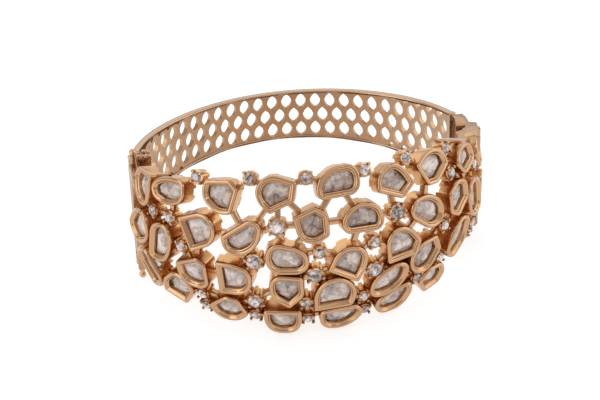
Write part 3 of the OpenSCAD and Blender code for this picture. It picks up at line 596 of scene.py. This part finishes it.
def turned(profile, x=0.0, steps=28):
    """A round piece turned on the lathe from a closed profile of radii and heights."""
    part = bmesh.new()
    points = [part.verts.new((r, 0, z)) for r, z in profile]
    wire = [part.edges.new((points[k - 1], points[k])) for k in range(len(points))]
    bmesh.ops.spin(part, geom=points + wire, cent=(0, 0, 0), axis=(0, 0, 1), angle=math.tau,
                   steps=steps, use_merge=True)
    bmesh.ops.remove_doubles(part, verts=part.verts, dist=0.0001)
    bmesh.ops.delete(part, geom=[e for e in part.edges if e.is_wire], context="EDGES")
    bmesh.ops.recalc_face_normals(part, faces=part.faces)
    bmesh.ops.translate(part, vec=(x, 0, 0), verts=part.verts)
    return part


# The steps that a claw grows by from its foot, and how much wider each end is than the one before
CLAW = (((0.06, 0, 1.1), 1.15), ((0.02, 0, 0.55), 1.05), ((-0.06, 0, 0.3), 1.0), ((-0.1, 0, 0.13), 0.8),
        ((-0.08, 0, 0.03), 0.55))
CUP_BACK = -2.6
front_cups = bmesh.new()
front_cups.verts.layers.float_vector.new("setting_place")
for angle, height, radius, prongs in CUPS.values():
    cup = turned([(radius - 0.12, CUP_BACK), (radius + 0.34, CUP_BACK), (radius + 0.36, -1.5),
                  (radius + 0.26, -0.95), (radius + 0.02, -0.9), (radius - 0.12, -1.1)], steps=24)
    back_edge = [f for f in cup.faces if f.calc_center_median().z < CUP_BACK + 0.01]
    cuts = (0, 60, 120) if radius < 1 else (22.5, 67.5, 112.5, 157.5)
    notch_back(cup, back_edge, low=-3.05, cuts=cuts, width=0.6)
    claw = bmesh.new()
    bmesh.ops.create_circle(claw, cap_ends=True, segments=10, radius=0.22)
    bmesh.ops.translate(claw, vec=(radius + 0.24, 0, -2.4), verts=claw.verts)
    face = claw.faces[:][0]
    for shift, grow in CLAW:
        face = bmesh.ops.extrude_discrete_faces(claw, faces=[face])["faces"][0]
        middle = face.calc_center_median()
        bmesh.ops.scale(claw, vec=(grow, grow, 1), space=Matrix.Translation(-middle), verts=face.verts)
        bmesh.ops.translate(claw, vec=shift, verts=face.verts)
    bmesh.ops.holes_fill(claw, edges=claw.edges)
    for k in range(prongs):
        add_part(cup, claw.copy(), Matrix.Rotation(math.tau * k / prongs + math.radians(45), 4, "Z"))
    claw.free()
    bmesh.ops.recalc_face_normals(cup, faces=cup.faces)
    keep_place(cup)
    add_part(front_cups, cup, on_dome(angle, height))

# Struts
# Short flat bars of the same gold, soldered between the settings a little below their rims. Each pair
# of names says which two settings a bar joins.
STRUTS = """01-02 02-c01 c01-03 03-c02 c02-04 04-c13 c13-05 05-c14 c14-06 06-c15 c15-07 07-c16
c16-08 c17-07 c17-08 c17-17 01-c03 c03-10 c03-c04 c04-02 c04-11 c04-12 10-11 11-c05
c05-12 12-03 12-13 03-13 13-04 04-14 c06-04 c06-13 c06-14 c06-22 05-14 05-15
14-15 14-22 15-23 06-c19 c19-15 c19-16 c19-24 07-16 16-c25 c25-17 c25-26 c25-25
16-24 08-c18 c18-09 17-18 c20-18 c20-37 17-26 10-19 19-c08 c08-11 19-28 28-20
c05-20 12-20 20-21 21-13 c07-13 c07-22 c07-21 22-29 c22-22 c22-23 c22-14 c23-22
c23-29 c23-23 c23-30 c21-15 c21-23 c21-24 c24-23 c24-24 c24-31 24-25 24-31 25-c27
25-c26 c26-26 c26-32 c27-32 c27-31 28-c09 c09-20 c09-c10 c10-33 c09-33 21-33 21-c11
c11-29 c11-33 c11-c12 c12-34 c12-33 29-34 c30-29 c30-30 c30-c31 c31-34 c31-35 30-35
23-30 c28-30 c28-31 c28-c29 c29-35 c29-36 31-36 36-32 09-37 37-27 26-c32 c32-c33 c33-27 c32-18
c20-c18 18-08 26-c33"""
# Depth of a bar below the rims, its width and thickness, and how far it enters the walls it joins
STRUT_DEEP, STRUT_WIDE, STRUT_THICK, STRUT_ENTERS = 1.95, 1.0, 1.2, 0.25
tubes = BVHTree.FromBMesh(front_bezels)
collars = BVHTree.FromBMesh(front_cups)


def setting_spot(name):
    """The middle of a setting at the depth of the struts, and the walls that stand round it."""
    if name in CUPS:
        return dome_point(*CUPS[name][:2], STRUT_DEEP), collars
    return dome_point(*BEZELS["polki_" + name][:2], STRUT_DEEP), tubes


struts = bmesh.new()
for pair in STRUTS.split():
    (first, first_walls), (last, last_walls) = (setting_spot(name) for name in pair.split("-"))
    run = last - first
    gaps = [walls.ray_cast(spot, way)[3] or 0
            for spot, way, walls in ((first, run, first_walls), (last, -run, last_walls))]
    length = run.length - sum(gaps) - 2 * STRUT_ENTERS
    strut = bmesh.new()
    bmesh.ops.create_cube(strut, size=1)
    bmesh.ops.scale(strut, vec=(STRUT_WIDE, STRUT_THICK, length), verts=strut.verts)
    long_edges = [e for e in strut.edges if abs(e.verts[0].co.z - e.verts[1].co.z) > 0.1]
    bmesh.ops.bevel(strut, geom=long_edges, offset=0.2, affect="EDGES", segments=2, profile=0.5,
                    material=-1)
    middle = first + run.normalized() * (gaps[0] + STRUT_ENTERS + length / 2)
    outward = Vector((middle.x / FRONT_OVAL[0] ** 2, middle.y / FRONT_OVAL[1] ** 2,
                      middle.z / DOME_RADIUS ** 2)).normalized()
    along = run.normalized()
    across = outward.cross(along).normalized()
    outward = along.cross(across)
    place = Matrix.Translation(middle) @ Matrix((across, outward, along)).transposed().to_4x4()
    add_part(struts, strut, place)
make_piece("front_bezels", front_bezels, front_gold, "front", ["front_frame"])
make_piece("front_cups", front_cups, front_gold, "front")
make_piece("front_struts", struts, front_gold, "front")


# Hinge end
# The left end of the front, cut from plate and soldered on: a flat plate that the band closes against,
# a carrier on its top with a V cut for the hinge, a rail and a three-sided web behind the first stones,
# and the two outer knuckles.


def soften(part, width, segments=2):
    """Rounds every sharp edge of a part."""
    sharp = [e for e in part.edges if e.is_manifold and e.calc_face_angle(0) > 0.5]
    bmesh.ops.bevel(part, geom=sharp, offset=width, affect="EDGES", segments=segments, profile=0.5,
                    material=-1, clamp_overlap=True)


def prism(corners, low, high, width, segments=2):
    """A plate cut to an outline, from one height to another, its edges rounded by a width."""
    plate = bmesh.new()
    face = plate.faces.new([plate.verts.new((x, y, low)) for x, y in corners])
    draw_out(plate, [face], (0, 0, high - low))
    bmesh.ops.recalc_face_normals(plate, faces=plate.faces)
    soften(plate, width, segments)
    return plate


def block(low, high, width=0.15):
    """A plate between two corners with rounded edges."""
    (left, near, foot), (right, far, head) = low, high
    return prism([(left, near), (right, near), (right, far), (left, far)], foot, head, width)


def drawn_bar(rings):
    """A bar drawn out of one four-sided section through a run of places."""
    part = bmesh.new()
    face = part.faces.new([part.verts.new(spot) for spot in rings[0]])
    for ring in rings[1:]:
        face = bmesh.ops.extrude_discrete_faces(part, faces=[face])["faces"][0]
        for point, spot in zip(face.verts, ring):
            point.co = spot
    bmesh.ops.holes_fill(part, edges=part.edges)
    bmesh.ops.recalc_face_normals(part, faces=part.faces)
    return part


# Heights of the rail's two faces, and the height at which it follows the dome
RAIL_LOW, RAIL_HIGH, RAIL_FOLLOWS = 8.6, 9.7, 9.3


def rail(first, last, side, below, wide):
    """The flat rail along the top of the left (-1) or right (1) end, swept about the middle of its arc."""
    centre, radius = arc_of(FRONT_OVAL, 180 if side < 0 else 0)
    drop = DOME_RADIUS - math.sqrt(DOME_RADIUS ** 2 - RAIL_FOLLOWS ** 2)
    outer = radius - drop - (TUCK if side > 0 else 0) - below
    inner = outer - wide
    part = bmesh.new()
    start = math.radians(first)
    points = [part.verts.new((r * math.cos(start), r * math.sin(start), z)) for r, z in
              ((inner, RAIL_LOW), (outer, RAIL_LOW), (outer, RAIL_HIGH), (inner, RAIL_HIGH))]
    bmesh.ops.spin(part, geom=[part.faces.new(points)], cent=(0, 0, 0), axis=(0, 0, 1),
                   angle=math.radians(last - first), steps=12)
    bmesh.ops.recalc_face_normals(part, faces=part.faces)
    soften(part, 0.15)
    bmesh.ops.translate(part, vec=(centre.x, 0, 0), verts=part.verts)
    return part


# Where the hinge's pin stands, and the radius of the bore that it turns in
HINGE_X, BORE = -30.75, 0.49


def knuckle(low, high):
    """A knuckle of the hinge with its edges broken."""
    return turned([(BORE, low), (0.85, low), (0.95, low + 0.1), (0.95, high - 0.1), (0.85, high),
                   (BORE, high)], HINGE_X)


hinge_end = bmesh.new()
add_part(hinge_end, block((-31.62, -2.6, -11.55), (-28.45, -1.6, 8.7)))
carrier = [(-31.55, -5.3), (-27.0, -5.3), (-27.2, -4.2), (-28.0, -1.7), (-29.4, -4.1), (-30.9, -1.1),
           (-31.6, -1.1)]
add_part(hinge_end, prism(carrier, 6.6, 8.8, 0.12))
add_part(hinge_end, block((-31.65, -5.0, 7.5), (-31.05, -0.2, 8.9), 0.12))
add_part(hinge_end, block((-31.1, -5.4, 7.4), (-28.3, -4.3, 9.4), 0.12))
add_part(hinge_end, rail(195, 222, -1, 2.2, 0.9))
web = bmesh.new()
face = web.faces.new([web.verts.new(spot) for spot in
                      ((-29.3, -6.6, 10.1), (-28.8, -9.2, 9.0), (-25.8, -11.9, 12.5))])
face.normal_update()
draw_out(web, [face], -0.6 * face.normal)
bmesh.ops.recalc_face_normals(web, faces=web.faces)
soften(web, 0.08)
add_part(hinge_end, web)
add_part(hinge_end, turned([(BORE, 7.8), (0.8, 7.8), (0.6, 8.7), (0.56, 10.0), (0.58, 10.5),
                            (BORE, 10.55)], HINGE_X))
for low, high in ((7.4, 7.9), (-11.6, -9.0)):
    add_part(hinge_end, knuckle(low, high))
    add_part(hinge_end, block((HINGE_X - 0.6, -2.3, low), (HINGE_X + 0.6, -0.75, high), 0.1))
# The ends are of the same gold as the front, but coloured darker as painted shade, and rougher
end_gold = rose_gold("end rose gold", (0.45, 0.265, 0.15), (0.82, 0.47, 0.19), 0.2)
make_piece("hinge_end", hinge_end, end_gold, "front")

# Clasp end
# The right end of the front, of the same plate: a flat plate, the tall box that the band's tongue
# slides into, a stepped block and rail above it, and a thin ledge that slopes down behind the stones.
clasp_end = bmesh.new()
add_part(clasp_end, block((28.55, -2.6, -11.6), (31.75, -1.6, 8.6)))
lid = [(29.35, 7.5), (29.4, 5.6), (28.8, 2.9), (30.75, 2.9), (30.7, 0.3), (28.6, -1.0), (28.6, -2.5),
       (31.7, -2.5), (31.7, 6.2), (31.4, 7.5)]
add_part(clasp_end, prism(lid, 4.8, 6.6, 0.12))
# The tongue's way about the hinge's pin, with a wall on each side of it
TONGUE_RADIUS = 61.4
arc = [(math.cos(math.radians(a)) * TONGUE_RADIUS + HINGE_X, math.sin(math.radians(a)) * TONGUE_RADIUS)
       for a in (2.4, 4, 5.5, 7)]
inner_wall = [(28.8, 2.9), (28.6, -2.5)] + [(x - 0.6, y) for x, y in arc] + [(29.35, 7.5), (29.4, 5.6)]
outer_wall = [(31.7, -2.5), (31.7, 6.2), (31.4, 7.5)] + [(x + 0.6, y) for x, y in reversed(arc)]
for corners in (inner_wall, outer_wall):
    add_part(clasp_end, prism(corners, -7.2, 4.8, 0.08))
add_part(clasp_end, block((28.7, -2.4, -7.1), (31.6, 6.9, -4.6)))
shelf = [(30.7, -5.8), (31.7, -0.3), (30.2, 0.3), (29.1, -1.4), (28.7, -2.2), (26.8, -2.9), (26.8, -5.8)]
add_part(clasp_end, prism(shelf, 6.0, 8.7, 0.15))
add_part(clasp_end, block((27.2, -6.8, 6.0), (30.3, -4.6, 9.3)))
add_part(clasp_end, rail(-40, -13, 1, 1.9, 1.2))
thick = Vector((0, 0, 0.8))
sections = []
for angle in range(39, 80, 4):
    height = 22.0 - 0.174 * angle
    outer, inner = dome_point(angle, height, 0.9), dome_point(angle, height, 2.4)
    inner.z = outer.z
    sections.append([outer, inner, inner - thick, outer - thick])
ledge = drawn_bar(sections)
soften(ledge, 0.15)
add_part(clasp_end, ledge)
make_piece("clasp_end", clasp_end, end_gold, "front")

# Back band
# A thin wall of the same gold, pierced with rows of pointed holes that step by half a hole, with a thick
# rim along each edge, and two small blocks and six beads at the hinge. The wall and rims are drawn flat,
# along their length and height, and then bent to the oval.
BAND_OVAL = (31.0, 28.1)
# Heights of the top and bottom edges at the middle of the back, and how far each spreads for every
# millimetre towards the ends
TOP, TOP_SPREAD, BOTTOM, BOTTOM_SPREAD = 5.05, 0.075, -5.0, 0.12
back_radius = arc_of(BAND_OVAL, 90)[1]
end_radius = arc_of(BAND_OVAL, 0)[1]
quarter = back_radius * math.pi / 4


def wall_angle(way):
    """The angle of the point a given way along the wall from the middle of the back."""
    if abs(way) < quarter:
        return 90 - math.degrees(way / back_radius)
    return 90 - math.copysign(45 + math.degrees((abs(way) - quarter) / end_radius), way)


def wall_way(angle):
    """The way along the wall to a given angle."""
    turn = math.radians(abs(90 - angle))
    way = turn * back_radius if turn < math.pi / 4 else quarter + (turn - math.pi / 4) * end_radius
    return math.copysign(way, 90 - angle)


def band_edges(way, margin=0.0):
    """Heights of the sloping top and bottom edges at a way along the wall."""
    forward = BAND_OVAL[1] - oval_point(BAND_OVAL, wall_angle(way)).y
    return TOP + TOP_SPREAD * forward - margin, BOTTOM - BOTTOM_SPREAD * forward + margin


def bend(part):
    """Bends a flat drawing, length along X, height in Y and thickness in Z, round the oval."""
    for v in part.verts:
        flat = oval_point(BAND_OVAL, wall_angle(v.co.x), v.co.z)
        v.co = (flat.x, flat.y, v.co.y)
    # Height and thickness have changed places, which turns the faces inside out
    bmesh.ops.reverse_faces(part, faces=part.faces)


# Height of a rim, and half the thickness of the rims and of the wall
RIM, RIM_HALF, WALL_HALF = 0.6, 0.65, 0.45
left_end, right_end = wall_way(179), wall_way(17.9)
band = bmesh.new()
band.verts.layers.float_vector.new("setting_place")
pierced = bmesh.new()
STEPS = 64
ways = [left_end + (right_end - left_end) * k / STEPS for k in range(STEPS + 1)]
for level in (0, 1):
    line = [pierced.verts.new((way, band_edges(way, RIM / 2)[level], 0)) for way in ways]
    for a, b in zip(line, line[1:]):
        pierced.edges.new((a, b))
pierced.verts.ensure_lookup_table()
for k in (0, STEPS):
    pierced.edges.new((pierced.verts[k], pierced.verts[STEPS + 1 + k]))
# The outline of a hole, the steps between holes and rows, and where the even and the odd rows start
HOLE = [(0, -1.6), (0.6, -1.08), (0.98, -0.34), (0.98, 0.34), (0.6, 1.06),
        (0, 1.6), (-0.6, 1.06), (-0.98, 0.34), (-0.98, -0.34), (-0.6, -1.08)]
HOLE_PITCH, ROW_PITCH, ROW_STARTS = 2.82, 3.02, (0.87, -0.54)
# How far from the middle of the back the rows end, where the two cut rows beside the rims begin, and the
# least area of a hole that a rim has cut
ROW_END, CUT_ROW_START, LEAST_HOLE = 36.3, 21, 0.3
for row in range(-2, 3):
    for step in range(-13, 14):
        way = ROW_STARTS[row % 2] + step * HOLE_PITCH
        if abs(way) > ROW_END or (abs(row) == 2 and abs(way) < CUT_ROW_START):
            continue
        hole = bmesh.new()
        hole.faces.new([hole.verts.new((way + x, row * ROW_PITCH + y, 0)) for x, y in HOLE])
        for level, facing in ((0, 1), (1, -1)):
            here, beside = (band_edges(spot, RIM)[level] for spot in (way, way + 0.1))
            slope = (beside - here) / 0.1
            bmesh.ops.bisect_plane(hole, geom=hole.verts[:] + hole.edges[:] + hole.faces[:], dist=0.0001,
                                   plane_co=(way, here, 0), plane_no=(-facing * slope, facing, 0),
                                   clear_outer=True)
        if sum(face.calc_area() for face in hole.faces) > LEAST_HOLE:
            bmesh.ops.delete(hole, geom=hole.faces[:], context="FACES_ONLY")
            add_part(pierced, hole)
        else:
            hole.free()
bmesh.ops.triangle_fill(pierced, use_beauty=True, edges=pierced.edges[:])
bmesh.ops.translate(pierced, vec=(0, 0, -WALL_HALF), verts=pierced.verts)
draw_out(pierced, pierced.faces[:], (0, 0, 2 * WALL_HALF))
bmesh.ops.recalc_face_normals(pierced, faces=pierced.faces)
soften(pierced, 0.1, 1)
# The wall carries painted shade, darker and duller than the rims and most at the middle of the back,
# which mirrors the dark front.
shade_and_dull = pierced.verts.layers.float_vector.new("setting_place")
for point in pierced.verts:
    point[shade_and_dull] = (point.co.x, point.co.y, -1.6 + 0.027 * abs(point.co.x))
bend(pierced)
add_part(band, pierced)
for level in (0, 1):
    strip = prism([(way, band_edges(way, RIM * level)[level]) for way in ways]
                  + [(way, band_edges(way, RIM * (1 - level))[level]) for way in reversed(ways)],
                  -RIM_HALF, RIM_HALF, 0.25, 3)
    bend(strip)
    add_part(band, strip)
# The plain ends of the wall, just inside the rims: from one angle to another, and how far they stand out
for start, end, out in ((178.9, 160.5, 0.6), (20.3, 18.0, 0.8)):
    a, b = wall_way(start), wall_way(end)
    inside = [a + (b - a) * k / 8 for k in range(9)]
    bar = prism([(way, band_edges(way, 0.05)[1]) for way in inside]
                + [(way, band_edges(way, 0.05)[0]) for way in reversed(inside)], -0.6, out, 0.2, 3)
    bend(bar)
    add_part(band, bar)
add_part(band, knuckle(-8.9, 7.3))
add_part(band, block((-30.2, 1.2, 6.4), (-27.4, 3.4, 9.1), 0.3))
add_part(band, block((-31.45, 1.0, 6.0), (-30.45, 3.4, 8.9), 0.25))
for x, y, z in ((-29.6, 3.0, 9.2), (-28.6, 3.1, 9.3), (-27.7, 3.0, 9.1), (-29.7, 1.7, 9.2),
                (-28.8, 1.6, 9.1), (-27.8, 1.7, 9.0)):
    bead = bmesh.new()
    bmesh.ops.create_icosphere(bead, subdivisions=3, radius=0.42)
    add_part(band, bead, Matrix.Translation((x, y, z)))
tongue = bmesh.new()
points = [tongue.verts.new((TONGUE_RADIUS + r, 0, z)) for r, z in
          ((-0.35, -4.1), (0.35, -4.1), (0.35, 4.1), (-0.35, 4.1))]
bmesh.ops.spin(tongue, geom=[tongue.faces.new(points)], cent=(0, 0, 0), axis=(0, 0, 1),
               angle=math.radians(4.8), steps=6)
bmesh.ops.recalc_face_normals(tongue, faces=tongue.faces)
soften(tongue, 0.12)
add_part(band, tongue, Matrix.Translation((HINGE_X, 0, 0)) @ Matrix.Rotation(math.radians(3.4), 4, "Z"))
# Its second colour is darker than the front's: the painted shade that the wall takes most at the middle of
# the back
band_gold = rose_gold("band rose gold", (0.50, 0.33, 0.215), (0.39, 0.195, 0.085), 0.13)
make_piece("pierced_band", band, band_gold, "band", ["back_band"])

# Hinge pin
# A rod of the same gold through all the knuckles, which joins the two halves. The small ball that is
# soldered on each of its ends keeps it in.
PIN_RADIUS, BALL_RADIUS, BALL_LOW, BALL_HIGH = 0.45, 0.65, -14, 11.05
ball = [(BALL_RADIUS * math.sin(math.radians(a)), -BALL_RADIUS * math.cos(math.radians(a)))
        for a in range(0, 181, 15)]
shaft = [(PIN_RADIUS, BALL_LOW + 0.5), (PIN_RADIUS, BALL_HIGH - 0.5)]
pin = turned([(r, z + BALL_LOW) for r, z in ball[:-3]] + shaft + [(r, z + BALL_HIGH) for r, z in ball[3:]],
             HINGE_X, 24)
pin_gold = rose_gold("pin rose gold", (0.57, 0.35, 0.20), (0.85, 0.40, 0.12), 0.08)
make_piece("ball_pin", pin, pin_gold, "front", ["hinge_pin"])
